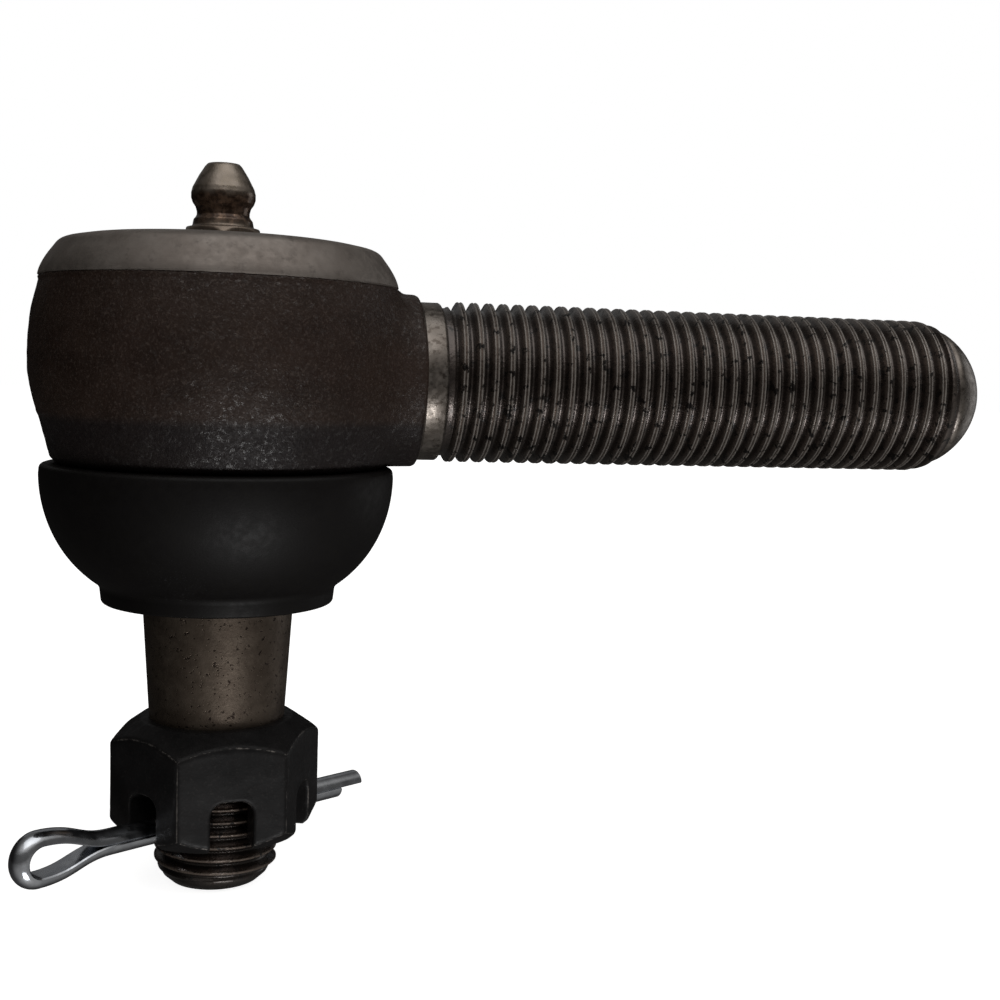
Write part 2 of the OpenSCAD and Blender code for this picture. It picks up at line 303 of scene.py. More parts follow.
def outline_distance(points, r, z):
    """Signed distance to a closed outline of (radius, height) points, negative inside."""
    best = np.full(r.shape, 1e9)
    inside = np.zeros(r.shape, bool)
    for (r0, z0), (r1, z1) in zip(points, points[1:] + points[:1]):
        er, ez = r1 - r0, z1 - z0
        wr, wz = r - r0, z - z0
        share = np.clip((wr * er + wz * ez) / max(er * er + ez * ez, 1e-12), 0, 1)
        best = np.minimum(best, (wr - share * er) ** 2 + (wz - share * ez) ** 2)
        if ez:
            inside ^= ((z0 > z) != (z1 > z)) & (r < r0 + (z - z0) * er / ez)
    return np.where(inside, -1.0, 1.0) * np.sqrt(best)


def turned_field(points, step=0.05):
    """A function of (radius, height) that looks the distance to a closed outline up in a table."""
    corner = np.min(points, 0) - 2
    size = np.max(points, 0) + 2 - corner
    counts = np.ceil(size / step).astype(int) + 2
    r, z = np.meshgrid(*(corner[a] + step * np.arange(counts[a]) for a in (0, 1)), indexing="ij")
    table = outline_distance(points, r, z)

    def look_up(r, z):
        u = np.clip((r - corner[0]) / step, 0, counts[0] - 1.001)
        v = np.clip((z - corner[1]) / step, 0, counts[1] - 1.001)
        i, j = u.astype(int), v.astype(int)
        u, v = u - i, v - j
        return ((1 - u) * (1 - v) * table[i, j] + u * (1 - v) * table[i + 1, j]
                + (1 - u) * v * table[i, j + 1] + u * v * table[i + 1, j + 1])

    return look_up


def smooth_min(a, b, k):
    """Union of two fields with a fillet of about k."""
    h = np.clip(0.5 + 0.5 * (b - a) / k, 0, 1)
    return b + (a - b) * h - k * h * (1 - h)


def smooth_max(a, b, k):
    """Intersection of two fields with edges rounded by about k."""
    return -smooth_min(-a, -b, k)


def slope(field, p, d=0.02):
    """Gradient of a field at points p."""
    return np.stack([(field(p + e) - field(p - e)) / (2 * d) for e in np.eye(3) * d], 1)


def settle(field, verts, rounds=3):
    """Moves points along the gradient onto the surface where the field is zero."""
    for _ in range(rounds):
        g = slope(field, verts)
        verts = verts - field(verts)[:, None] * g / np.maximum((g * g).sum(1), 0.05)[:, None]
    return verts


def even_out(verts, faces):
    """Moves each point towards the middle of its neighbours."""
    total, hits = np.zeros_like(verts), np.zeros(len(verts))
    for a, b in ((0, 1), (1, 2), (2, 3), (3, 0)):
        for p, q in ((a, b), (b, a)):
            np.add.at(total, faces[:, p], verts[faces[:, q]])
            np.add.at(hits, faces[:, p], 1)
    return verts + 0.6 * (total / hits[:, None] - verts)


def field_surface(field, lo, hi, step):
    """Quads on the surface where the field is zero, one point for each grid cell it passes through."""
    lo = np.asarray(lo, float)
    counts = np.ceil((np.asarray(hi, float) - lo) / step).astype(int) + 1
    axes = [lo[a] + step * np.arange(counts[a]) for a in range(3)]
    values = np.stack([
        field(np.stack(np.broadcast_arrays(x, *np.meshgrid(axes[1], axes[2], indexing="ij")), -1)
              .reshape(-1, 3)).reshape(counts[1], counts[2]) for x in axes[0]])
    cells = counts - 1
    total, hits = np.zeros((*cells, 3)), np.zeros(cells)

    def corner(start):
        return values[tuple(slice(start[a], start[a] + cells[a]) for a in range(3))]

    for start in np.ndindex(2, 2, 2):
        for axis in range(3):
            if start[axis]:
                continue
            end = tuple(1 if a == axis else start[a] for a in range(3))
            f0, f1 = corner(start), corner(end)
            crossed = (f0 < 0) != (f1 < 0)
            share = np.where(crossed, f0 / np.where(crossed, f0 - f1, 1), 0)
            hits += crossed
            for a in range(3):
                total[..., a] += np.where(crossed, share if a == axis else start[a], 0)
    active = hits > 0
    index = np.full(cells, -1)
    index[active] = np.arange(active.sum())
    verts = lo + step * (np.argwhere(active) + total[active] / hits[active][:, None])
    faces = []
    inside = values < 0
    for axis in range(3):
        b, c = (axis + 1) % 3, (axis + 2) % 3
        near = np.take(inside, np.arange(counts[axis] - 1), axis)
        far = np.take(inside, np.arange(1, counts[axis]), axis)
        at = np.argwhere(near != far)
        at = at[(at[:, b] > 0) & (at[:, c] > 0) & (at[:, b] < cells[b]) & (at[:, c] < cells[c])]
        quad = []
        for db, dc in ((1, 1), (0, 1), (0, 0), (1, 0)):
            q = at.copy()
            q[:, b] -= db
            q[:, c] -= dc
            quad.append(index[tuple(q.T)])
        faces.append(np.stack(quad, 1))
    faces = np.concatenate(faces)
    for _ in range(2):
        verts = settle(field, even_out(verts, faces), 2)
    return settle(field, verts), faces


# ---------------------------------------------------------------- materials

class Shader:
    """A material with a Principled shader, and short calls that add nodes to it."""

    def __init__(self, name, **values):
        self.material = bpy.data.materials.new(name)
        self.material.use_nodes = True
        self.tree = self.material.node_tree
        self.principled = self.tree.nodes["Principled BSDF"]
        for key, value in values.items():
            self.set(key.replace("_", " "), value)
        self.place = self.tree.nodes.new("ShaderNodeTexCoord").outputs["Object"]
        self.xyz = self.add("ShaderNodeSeparateXYZ", {"Vector": self.place}).outputs

    def set(self, socket, value):
        """Gives a socket of the Principled shader a constant or another node's output."""
        target = self.principled.inputs[socket]
        if isinstance(value, bpy.types.NodeSocket):
            self.tree.links.new(value, target)
        else:
            target.default_value = (*value, 1) if isinstance(value, tuple) else value

    def add(self, kind, inputs, **settings):
        """A new node with its inputs, which are constants or outputs, and its settings."""
        node = self.tree.nodes.new(kind)
        for key, value in settings.items():
            setattr(node, key, value)
        for key, value in inputs.items():
            if isinstance(value, bpy.types.NodeSocket):
                self.tree.links.new(value, node.inputs[key])
            else:
                node.inputs[key].default_value = value
        return node

    def noise(self, size_mm, detail=3, rough=0.55, stretch=None):
        """Noise of 0 to 1 with features of that size."""
        place = self.place
        if stretch:
            scaled = self.add("ShaderNodeVectorMath", {0: place, 1: stretch}, operation="MULTIPLY")
            place = scaled.outputs[0]
        return self.add("ShaderNodeTexNoise", {
            "Vector": place, "Scale": 1 / (size_mm * MM), "Detail": detail,
            "Roughness": rough}).outputs["Fac"]

    def ramp(self, value, low, high, out_low=0.0, out_high=1.0):
        """Maps low..high onto out_low..out_high with soft ends."""
        return self.add("ShaderNodeMapRange", {
            "Value": value, "From Min": low, "From Max": high, "To Min": out_low,
            "To Max": out_high}, interpolation_type="SMOOTHSTEP").outputs["Result"]

    def math(self, operation, a, b=0.0):
        """Result of a Math node."""
        return self.add("ShaderNodeMath", {0: a, 1: b}, operation=operation).outputs[0]

    def mix(self, share, a, b):
        """Colour a where the share is 0 and b where it is 1."""
        node = self.tree.nodes.new("ShaderNodeMix")
        node.data_type = "RGBA"
        for socket, value in ((0, share), (6, a), (7, b)):
            if isinstance(value, bpy.types.NodeSocket):
                self.tree.links.new(value, node.inputs[socket])
            else:
                node.inputs[socket].default_value = (*value, 1) if isinstance(value, tuple) else value
        return node.outputs[2]

    def bump(self, height, depth_mm, strength=1.0, under=None):
        """Adds a bump whose height runs over depth_mm, on top of an earlier one."""
        inputs = {"Height": height, "Distance": depth_mm * MM, "Strength": strength}
        if under:
            inputs["Normal"] = under
        return self.add("ShaderNodeBump", inputs).outputs["Normal"]


def forging_material():
    """Forging scale: near black brown, grainy, darker and bluish under the ledge."""
    s = Shader("forging", Metallic=0.1, Specular_IOR_Level=0.28)
    tone = s.ramp(s.noise(3.5, 4), 0.35, 0.65)
    band = s.ramp(s.noise(3.0, 3, 0.55, stretch=(0.25, 0.25, 1.0)), 0.38, 0.66)
    fleck = s.ramp(s.noise(0.26, 3, 0.65), 0.52, 0.66)
    colour = s.mix(tone, (0.022, 0.0125, 0.0092), (0.031, 0.0185, 0.0138))
    colour = s.mix(s.math("MULTIPLY", band, 0.4), colour, (0.042, 0.026, 0.020))
    colour = s.mix(s.math("MULTIPLY", fleck, 0.5), colour, (0.090, 0.066, 0.055))
    low = s.ramp(s.xyz["Z"], -3.4 * MM, -4.6 * MM)
    colour = s.mix(s.math("MULTIPLY", low, 0.7), colour, (0.0075, 0.0068, 0.0085))
    s.set("Base Color", colour)
    s.set("Roughness", s.ramp(s.noise(0.4, 4, 0.65), 0.40, 0.64, 0.32, 0.6))
    rough = s.bump(s.noise(1.5, 4, 0.6), 0.09, 0.7)
    normal = s.bump(s.noise(0.34, 4, 0.7), 0.085, 1.0, rough)
    s.set("Normal", normal)
    s.set("Coat Normal", normal)
    s.set("Coat Weight", s.ramp(s.noise(0.5, 4, 0.7), 0.55, 0.63, 0.0, 1.0))
    s.set("Coat Roughness", 0.2)
    return s.material


def rim_material():
    """Turned steel gone satin grey, with faint tool lines round it."""
    s = Shader("machined_rim", Metallic=0.75)
    cloud = s.ramp(s.noise(4.0, 4), 0.3, 0.7)
    colour = s.mix(cloud, (0.20, 0.173, 0.154), (0.275, 0.245, 0.222))
    stain = s.ramp(s.noise(1.1, 4, 0.65), 0.56, 0.72)
    s.set("Base Color", s.mix(s.math("MULTIPLY", stain, 0.5), colour, (0.11, 0.095, 0.085)))
    s.set("Roughness", s.ramp(s.noise(0.7, 3), 0.3, 0.7, 0.44, 0.58))
    lines = s.noise(0.9, 2, 0.5, stretch=(0.25, 0.25, 12.0))
    fine = s.bump(s.noise(0.35, 3, 0.6), 0.012, 0.7)
    s.set("Normal", s.bump(lines, 0.012, 0.6, fine))
    return s.material


def bare_steel_material():
    """Bright turned steel with dull spots: the collar and the rounded end of the shank."""
    s = Shader("bare_steel", Metallic=0.9)
    spots = s.ramp(s.noise(0.55, 4, 0.6), 0.52, 0.66)
    cloud = s.ramp(s.noise(2.4, 3), 0.35, 0.65)
    colour = s.mix(cloud, (0.17, 0.148, 0.130), (0.26, 0.232, 0.208))
    s.set("Base Color", s.mix(s.math("MULTIPLY", spots, 0.75), colour, (0.075, 0.06, 0.05)))
    s.set("Roughness", s.ramp(s.noise(0.6, 3), 0.35, 0.7, 0.26, 0.46))
    s.set("Normal", s.bump(s.noise(0.4, 4, 0.6), 0.02, 0.8))
    return s.material


def thread_material(name, axis_sockets, crest_r, root_depth, crest, flank, painted_root_shade):
    """Oily screw thread: dark in the roots as painted shade, lighter along the crests as bare steel
    from wear and as a painted highlight, with specks of dirt.
    """
    s = Shader(name, Specular_IOR_Level=0.3, Coat_Weight=1.0, Coat_Roughness=0.26)
    squares = [s.math("MULTIPLY", s.xyz[a], s.xyz[a]) for a in axis_sockets]
    radius = s.math("SQRT", s.math("ADD", *squares))
    ragged = s.math("ADD", radius, s.math("MULTIPLY", s.noise(0.5, 3), 0.16 * MM))
    # The crests get a lighter, less metallic colour: partly bare steel from wear, partly a painted
    # highlight for the bright crest lines.
    crest_wear_and_highlight = s.ramp(ragged, (crest_r - 0.02) * MM, (crest_r + 0.06) * MM)
    # Painted shade: deeper in the thread the colour turns to the dark colour of the roots.
    root_shade_mask = s.ramp(ragged, (crest_r - 0.05 * root_depth) * MM, (crest_r - 0.5 * root_depth) * MM)
    colour = s.mix(s.ramp(s.noise(2.2, 4), 0.35, 0.65), flank, tuple(1.35 * c for c in flank))
    colour = s.mix(crest_wear_and_highlight, colour, crest)
    colour = s.mix(s.math("MULTIPLY", root_shade_mask, 0.85), colour, painted_root_shade)
    dirt = s.ramp(s.noise(0.95, 4, 0.62), 0.57, 0.62)
    s.set("Base Color", s.mix(dirt, colour, (0.012, 0.009, 0.008)))
    s.set("Metallic", s.math("SUBTRACT", 0.85, s.math("MULTIPLY", crest_wear_and_highlight, 0.3)))
    polish = s.ramp(s.noise(0.6, 3), 0.3, 0.7, 0.2, 0.42)
    s.set("Roughness", s.math("ADD", polish, s.math("MULTIPLY", dirt, 0.25)))
    normal = s.bump(s.noise(0.32, 3, 0.6), 0.04, 0.9)
    s.set("Normal", normal)
    s.set("Coat Normal", normal)
    return s.material


def nipple_material():
    """Plated nipple: clean satin dome, with old brown grease round the neck and under the head."""
    s = Shader("nipple_steel", Metallic=0.8, Coat_Weight=0.4, Coat_Roughness=0.12)
    z = s.math("ADD", s.xyz["Z"], s.math("MULTIPLY", s.noise(1.3, 3), 0.9 * MM))
    clean = s.ramp(z, (NIPPLE_HI.z - 2.9) * MM, (NIPPLE_HI.z - 2.2) * MM)
    lower = s.ramp(z, (NIPPLE_LO.z + 5.3) * MM, (NIPPLE_LO.z + 4.3) * MM)
    grease = s.mix(s.ramp(s.noise(0.7, 3), 0.35, 0.65), (0.045, 0.023, 0.013), (0.22, 0.14, 0.095))
    metal = s.mix(s.ramp(s.noise(1.0, 3), 0.35, 0.65), (0.20, 0.165, 0.13), (0.28, 0.235, 0.195))
    colour = s.mix(clean, grease, metal)
    s.set("Base Color", s.mix(s.math("MULTIPLY", lower, 0.75), colour, (0.21, 0.17, 0.135)))
    s.set("Roughness", s.ramp(s.noise(0.5, 3), 0.3, 0.7, 0.24, 0.44))
    s.set("Normal", s.bump(s.noise(0.35, 3, 0.6), 0.03, 0.8))
    return s.material


def rubber_material():
    """Matte black rubber with a faint mould grain and a trace of dust."""
    s = Shader("boot_rubber", Specular_IOR_Level=0.22)
    dust = s.ramp(s.noise(2.6, 5, 0.6), 0.5, 0.8)
    share = s.math("MULTIPLY", dust, 0.35)
    s.set("Base Color", s.mix(share, (0.0042, 0.0034, 0.0034), (0.010, 0.0085, 0.008)))
    s.set("Roughness", s.ramp(s.noise(0.8, 4), 0.3, 0.7, 0.46, 0.56))
    soft = s.bump(s.noise(2.0, 2), 0.02, 0.3)
    s.set("Normal", s.bump(s.noise(0.22, 3, 0.6), 0.016, 0.7, soft))
    return s.material


def stud_material():
    """Ground steel gone brown-grey, with dark pits."""
    s = Shader("stud_steel", Metallic=0.85)
    cloud = s.ramp(s.noise(2.2, 4, 0.6), 0.3, 0.7)
    colour = s.mix(cloud, (0.10, 0.077, 0.060), (0.155, 0.124, 0.098))
    pits = s.ramp(s.noise(0.42, 3, 0.6), 0.60, 0.68)
    s.set("Base Color", s.mix(pits, colour, (0.03, 0.02, 0.016)))
    s.set("Roughness", s.ramp(s.noise(0.6, 4), 0.3, 0.7, 0.34, 0.52))
    fine = s.bump(s.noise(0.25, 3, 0.6), 0.018, 0.8)
    s.set("Normal", s.bump(s.math("SUBTRACT", 1.0, pits), 0.03, 0.8, fine))
    return s.material


def oxide_material():
    """Black oxide, bluish and satin, bright along the edges that stand out: bare steel from wear and a
    painted highlight.
    """
    s = Shader("black_oxide", Metallic=0.1, Specular_IOR_Level=0.22)
    cloud = s.ramp(s.noise(2.6, 4), 0.3, 0.7)
    colour = s.mix(cloud, (0.0078, 0.0075, 0.0080), (0.0125, 0.0118, 0.0122))
    fleck = s.ramp(s.noise(0.3, 3, 0.6), 0.56, 0.7)
    colour = s.mix(s.math("MULTIPLY", fleck, 0.4), colour, (0.035, 0.032, 0.031))
    edge_wear_and_highlight = s.add("ShaderNodeAttribute", {}, attribute_name="edge_wear_and_highlight").outputs["Fac"]
    edge_wear_and_highlight_share = s.ramp(s.math("ADD", edge_wear_and_highlight, s.math("MULTIPLY", s.noise(1.4, 4, 0.6), 1.1)), 1.2, 1.7)
    # Light bare steel along the outer edges, partly wear and partly a painted edge highlight.
    s.set("Base Color", s.mix(edge_wear_and_highlight_share, colour, (0.26, 0.24, 0.225)))
    s.set("Metallic", s.math("ADD", s.math("MULTIPLY", edge_wear_and_highlight_share, 0.8), 0.1))
    s.set("Roughness", s.ramp(s.noise(0.7, 4), 0.3, 0.7, 0.38, 0.54))
    s.set("Normal", s.bump(s.noise(0.3, 4, 0.65), 0.02, 0.8))
    return s.material


def zinc_material():
    """Bright bluish zinc with drawing marks."""
    s = Shader("zinc", Metallic=1.0)
    colour = s.mix(s.ramp(s.noise(1.5, 3), 0.35, 0.65), (0.58, 0.61, 0.66), (0.74, 0.77, 0.82))
    s.set("Base Color", colour)
    s.set("Roughness", s.ramp(s.noise(0.8, 3), 0.3, 0.7, 0.12, 0.26))
    s.set("Normal", s.bump(s.noise(0.5, 3, 0.6), 0.012, 0.7))
    return s.material


def cover_material():
    """Pressed steel cover, satin with grease smears."""
    s = Shader("cover_steel", Metallic=0.8)
    smear = s.ramp(s.noise(2.5, 4, 0.6), 0.45, 0.65)
    s.set("Base Color", s.mix(smear, (0.22, 0.205, 0.19), (0.12, 0.10, 0.085)))
    s.set("Roughness", s.ramp(s.noise(0.8, 3), 0.3, 0.7, 0.34, 0.55))
    s.set("Normal", s.bump(s.noise(0.5, 3, 0.6), 0.02, 0.8))
    return s.material


def inner_metal(name, colour, rough):
    """Clean inner steel with a light film of grease."""
    s = Shader(name, Metallic=1.0)
    dark = tuple(0.75 * c for c in colour)
    s.set("Base Color", s.mix(s.ramp(s.noise(1.8, 3), 0.35, 0.65), dark, colour))
    s.set("Roughness", s.ramp(s.noise(0.6, 3), 0.3, 0.7, rough, rough + 0.15))
    s.set("Normal", s.bump(s.noise(0.4, 3, 0.6), 0.01, 0.6))
    return s.material


def seat_material():
    """Moulded acetal with grease on it."""
    s = Shader("seat_plastic")
    grease = s.ramp(s.noise(2.4, 4, 0.6), 0.48, 0.62)
    s.set("Base Color", s.mix(s.math("MULTIPLY", grease, 0.6), (0.74, 0.71, 0.62), (0.42, 0.31, 0.17)))
    s.set("Roughness", s.ramp(s.noise(0.9, 3), 0.3, 0.7, 0.3, 0.5))
    s.set("Normal", s.bump(s.noise(0.5, 3, 0.6), 0.01, 0.6))
    return s.material


# ---------------------------------------------------------------- socket

def socket_side():
    """Outer side of the forging from its bottom corner up to the foot of the turned rim."""
    low = arc(BELLY_R - 18, BELLY_Z, 18, -17.5, 0, 16)
    high = arc(BELLY_R - 25, BELLY_Z, 25, 0, 17, 16)
    return low + high[1:]


def forging():
    """The forged body: socket, spigot, bore and the neck that blends into its side."""
    side = [(r, z) for r, z in socket_side() if z < RIM_FOOT]
    outer = turned_field([
        (11.4, SPIGOT_Z), (SPIGOT_R - 0.4, SPIGOT_Z), (SPIGOT_R, SPIGOT_Z + 0.4),
        (SPIGOT_R, BOTTOM_Z), (BOTTOM_R - 0.5, BOTTOM_Z), (BOTTOM_R, BOTTOM_Z + 0.5),
        (16.95, LEDGE_Z - 0.25), (17.14, LEDGE_Z + 0.1)] + side[1:] + [
        (RIM_FOOT_R, RIM_FOOT), (RIM_FOOT_R, RIM_FOOT + 1), (BORE_R, RIM_FOOT + 1),
        (BORE_R, -5.3), (8.9, -5.3)])

    def field(p):
        x, y, z = p.T
        around = np.hypot(x, y)
        across = np.hypot(y, z)
        body = outer(around, z)
        reach = smooth_max(across - NECK_R - 0.035 * (NECK_END - x), x - NECK_END, 0.5)
        neck = np.maximum(np.maximum(reach, BORE_R + 0.8 - around), -x)
        side_share = smoothstep(np.abs(y), 2, 8)
        joined = smooth_min(body, neck, 0.9 + 2.6 * side_share)
        over_bottom = np.maximum(joined, BOTTOM_Z - z)
        joined = np.where(around > SPIGOT_R + 0.1, over_bottom, np.minimum(joined, body))
        return np.maximum(joined, z - RIM_FOOT)

    lo = (HOUSE_LO.x - 0.6, HOUSE_LO.x - 0.6, SPIGOT_Z - 0.6)
    hi = (NECK_END + 0.6, -HOUSE_LO.x + 0.6, RIM_FOOT + 0.6)
    verts, faces = field_surface(field, lo, hi, 0.27)
    normal = slope(field, verts)
    around = np.hypot(verts[:, 0], verts[:, 1])
    outside = smoothstep(around, 15.0, 15.6)
    outside *= smoothstep(verts[:, 2], BOTTOM_Z + 0.1, BOTTOM_Z + 1)
    outside *= smoothstep(RIM_FOOT - verts[:, 2], 0.05, 0.5)
    outside *= smoothstep(NECK_END - verts[:, 0], 0.1, 0.6)
    lumps = 0.09 * grain(verts, 5.0, 2) + 0.035 * grain(verts, 1.1, 3, 2.0)
    verts = verts + normal * (outside * lumps)[:, None]
    obj = finish_mesh("socket_forging", verts, faces)
    dress(obj, "socket", [forging_material()], ["socket_housing"])


def rim():
    """The turned top of the socket, rolled in over the cover plate."""
    outline = [(BORE_R + 0.3, RIM_FOOT), (RIM_FOOT_R - 0.12, RIM_FOOT)]
    outline += curve((RIM_FOOT_R, RIM_FOOT + 0.15), (16.85, RIM_TOP - 2.9), (16.05, RIM_TOP - 1.75), 10)
    outline += curve((15.45, RIM_TOP - 0.95), (15.1, RIM_TOP - 0.42), (14.45, RIM_TOP - 0.31), 8)
    outline += curve((13.6, RIM_TOP - 0.14), (12.9, RIM_TOP), (12.1, RIM_TOP), 6)
    outline += arc(12.1, RIM_TOP - 0.3, 0.3, 90, 180, 6)[1:]
    outline += [(11.8, COVER_HI.z - 1.1), (BORE_R + 0.3, COVER_HI.z - 1.1), (BORE_R + 0.3, RIM_FOOT)]
    obj = turned_object("socket_rim", plain_rows(outline, 257), sharp_deg=30)
    dress(obj, "socket", [rim_material()], ["socket_housing"])


def shank():
    """Collar, undercut, left-hand thread and rounded end."""
    columns = 161
    root_r = 7.0
    shape = [(0.02, 0.09), (0.045, 0.02), (0.075, 0.0), (0.11, 0.03), (0.185, 0.16), (0.26, 0.03),
             (0.295, 0.0), (0.325, 0.02), (0.35, 0.10), (0.43, 0.38), (0.54, 0.74), (0.59, 0.83),
             (0.665, SHANK_THREAD_DEPTH), (0.74, 0.83), (0.79, 0.74), (0.91, 0.35)]
    head = [(0, NECK_END - 3), (COLLAR_R, NECK_END - 3), (COLLAR_R, NECK_END + 0.02)]
    head += [(COLLAR_R + 0.2, NECK_END - 0.01), (COLLAR_R, NECK_END + 0.2)]
    head += [(COLLAR_R, NECK_END + 1.95), (COLLAR_R - 0.1, NECK_END + 2.1), (7.4, NECK_END + 2.3),
             (UNDERCUT_R, NECK_END + 2.45), (UNDERCUT_R, THREAD_START)]
    rows = plain_rows(head, columns)
    for along, r in thread_rows(THREAD_START, THREAD_END, UNDERCUT_R, root_r, SHANK_R, SHANK_PITCH,
                                shape, columns, 0.5, 0.9):
        rows.append((along, np.minimum(r, end_radius(along) + 0.1)))
    tail = [(root_r, THREAD_END), (root_r, THREAD_END + 0.1)]
    tail.append((end_radius(THREAD_END + 0.35) - 0.04, THREAD_END + 0.35))
    tail += [(end_radius(SHANK_END - h), SHANK_END - h) for h in np.linspace(2.05, 0, 24) ** 2]
    rows += plain_rows(tail, columns)
    obj = turned_object("shank", rows, hand=-1, axis="x", sharp_deg=38,
                        material_of=lambda h: int(NECK_END + 2.2 < h < THREAD_END + 0.15))
    # Colours of the crests (bare steel from wear and a painted highlight), the flanks, and the roots
    # (painted shade).
    thread = thread_material("thread_steel", "YZ", SHANK_R, SHANK_THREAD_DEPTH, (0.38, 0.345, 0.315),
                             (0.16, 0.13, 0.113), (0.036, 0.025, 0.021))
    dress(obj, "socket", [bare_steel_material(), thread], ["socket_housing"])


# ---------------------------------------------------------------- top

def cover():
    """Pressed plate under the rolled rim, with the boss for the nipple."""
    z0, z1, top = COVER_LO.z, COVER_HI.z - 1.1, COVER_HI.z
    outline = [(3.02, z0), (BORE_R + 0.25, z0), (BORE_R + 0.25, z1), (7.6, z1)]
    outline += arc(7.6, z1 + 0.5, 0.5, -90, -135, 4)
    outline += arc(5.8, top - 0.3, 0.3, 45, 90, 4) + [(3.02, top), (3.02, z0)]
    obj = turned_object("cover", plain_rows(outline, 193), sharp_deg=30)
    dress(obj, "socket", [cover_material()], ["cover_plate"])


def nipple():
    """Grease nipple: threaded body, hexagon, collar, waist and domed head with its feed bore."""
    foot, hex_top, top = COVER_HI.z, COVER_HI.z + 1.1, NIPPLE_HI.z
    outline = [(0.6, NIPPLE_LO.z), (3.0, NIPPLE_LO.z), (3.0, hex_top - 0.02), (2.9, hex_top + 0.25),
               (2.8, hex_top + 0.75), (2.6, hex_top + 1.0), (2.5, hex_top + 1.2), (2.5, hex_top + 1.5)]
    outline += [(2.62, top - 4.15), (2.9, top - 3.75), (3.05, top - 3.3), (3.05, top - 2.8),
                (2.92, top - 2.3), (2.35, top - 1.2), (1.75, top - 0.25), (1.5, top), (0.7, top),
                (1.25, top - 1.15), (1.25, foot + 1.6), (0.6, foot + 1.6)]
    body = turned_field(outline, 0.04)

    def field(p):
        x, y, z = p.T
        around = np.hypot(x, y)
        flats = [np.abs(x * math.cos(a) + y * math.sin(a)) - 3.5 for a in (0, TAU / 6, TAU / 3)]
        hexagon = smooth_max(smooth_max(flats[0], flats[1], 0.15), flats[2], 0.15)
        hexagon = smooth_max(hexagon, np.maximum(foot - z, z - hex_top), 0.15)
        hexagon = smooth_max(hexagon, 0.8 * (around - 4.35 + (z - foot) * 0.77), 0.15)
        hexagon = np.maximum(hexagon, 2.0 - around)
        return smooth_min(body(around, z), hexagon, 0.2)

    verts, faces = field_surface(field, (-4.3, -4.3, NIPPLE_LO.z - 0.3), (4.3, 4.3, top + 0.3), 0.1)
    obj = finish_mesh("nipple", verts, faces)
    dress(obj, "socket", [nipple_material()], ["grease_nipple"])


def nipple_coil():
    """Coil spring of the check ball."""
    lo, hi = box_mm("nipple_spring")
    wire = 0.14
    r = hi.x - wire
    turns, steps = 5, 48
    angle = np.linspace(0, TAU * turns, turns * steps)
    z = np.linspace(lo.z + wire, hi.z - wire, len(angle))
    path = np.stack((r * np.cos(angle), r * np.sin(angle), z), 1)
    out = np.stack((np.cos(angle), np.sin(angle), np.zeros(len(angle))), 1)
    ring = np.array(arc(0, 0, wire, 0, 330, 11))
    obj = sweep("nipple_coil", path, out, (0, 0, 1), ring)
    steel = inner_metal("nipple_spring_steel", (0.42, 0.42, 0.44), 0.2)
    dress(obj, "socket", [steel], ["nipple_spring"])
    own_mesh(obj)


def disc_flattens():
    """Gives the coned spring's CAD piece a mesh of its own."""
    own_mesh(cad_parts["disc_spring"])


# ---------------------------------------------------------------- stud, nut and pin

def stud():
    """Ball, neck, ground taper and thread, with the cross hole for the pin.

    Both the heights and the way round are flipped here, so this thread comes out left-hand too. A
    real stud's is most likely right-hand.
    """
    columns = 161
    flat_angle = math.degrees(math.asin(STUD_HI.z / BALL_R))
    neck_angle = math.degrees(math.acos(STUD_NECK_R / BALL_R))
    flare, drop = TAPER_TOP_R - STUD_NECK_R, STUD_NECK_Z - TAPER_TOP
    head = [(0, STUD_HI.z)] + arc(0, 0, BALL_R, flat_angle, -neck_angle, 48)
    head += [(STUD_NECK_R, STUD_NECK_Z)] + [
        (TAPER_TOP_R - flare * (1 - math.sin(a)), STUD_NECK_Z - drop * (1 - math.cos(a)))
        for a in np.radians(np.linspace(0, 90, 9))]
    head += [(TAPER_TOP_R - TAPER_SLOPE * along, TAPER_TOP - along)
             for along in TAPER_LENGTH * np.linspace(0.02, 1, 24)]
    head += [(TAPER_END_R - 0.25, TAPER_END - 0.12), (5.25, TAPER_END - 0.25), (5.22, TAPER_END - 0.7)]
    start, end = -(TAPER_END - 0.7), -(STUD_END + 1.1)
    shape = [(0.02, 0.05), (0.07, 0.0), (0.17, 0.0), (0.22, 0.05), (0.33, 0.30), (0.47, 0.66),
             (0.53, 0.74), (0.6, STUD_THREAD_DEPTH), (0.67, 0.74), (0.73, 0.66), (0.88, 0.30)]
    rows = plain_rows(head, columns)
    rows += [(-h, r) for h, r in thread_rows(start, end, 5.22, 5.3, STUD_R, STUD_PITCH, shape,
                                             columns, 1.0, 0.6)]
    rows += plain_rows([(5.3, STUD_END + 1.1), (5.15, STUD_END + 0.8), (4.4, STUD_END + 0.12),
                        (4.1, STUD_END), (0, STUD_END)], columns)
    obj = turned_object("stud", rows, hand=1, sharp_deg=38,
                        material_of=lambda h: int(h < TAPER_END - 0.4) + 2 * int(h > STUD_NECK_Z))
    hole = [(0, -12), (PIN_HOLE_R, -12), (PIN_HOLE_R, 12), (0, 12)]
    drill = turned_object("drill", plain_rows(hole, 65), axis="x")
    drill.rotation_euler = (0, 0, PIN_TURN)
    drill.location = (0, 0, PIN_Z * MM)
    cut_away(obj, drill)
    # Colours of the crests (bare steel from wear and a painted highlight), the flanks, and the roots
    # (painted shade).
    thread = thread_material("stud_thread", "XY", STUD_R, STUD_THREAD_DEPTH, (0.17, 0.13, 0.105),
                             (0.07, 0.050, 0.040), (0.02, 0.013, 0.010))
    ball = inner_metal("ball_finish", (0.55, 0.54, 0.52), 0.12)
    dress(obj, "stud", [stud_material(), thread, ball], ["ball_stud"])


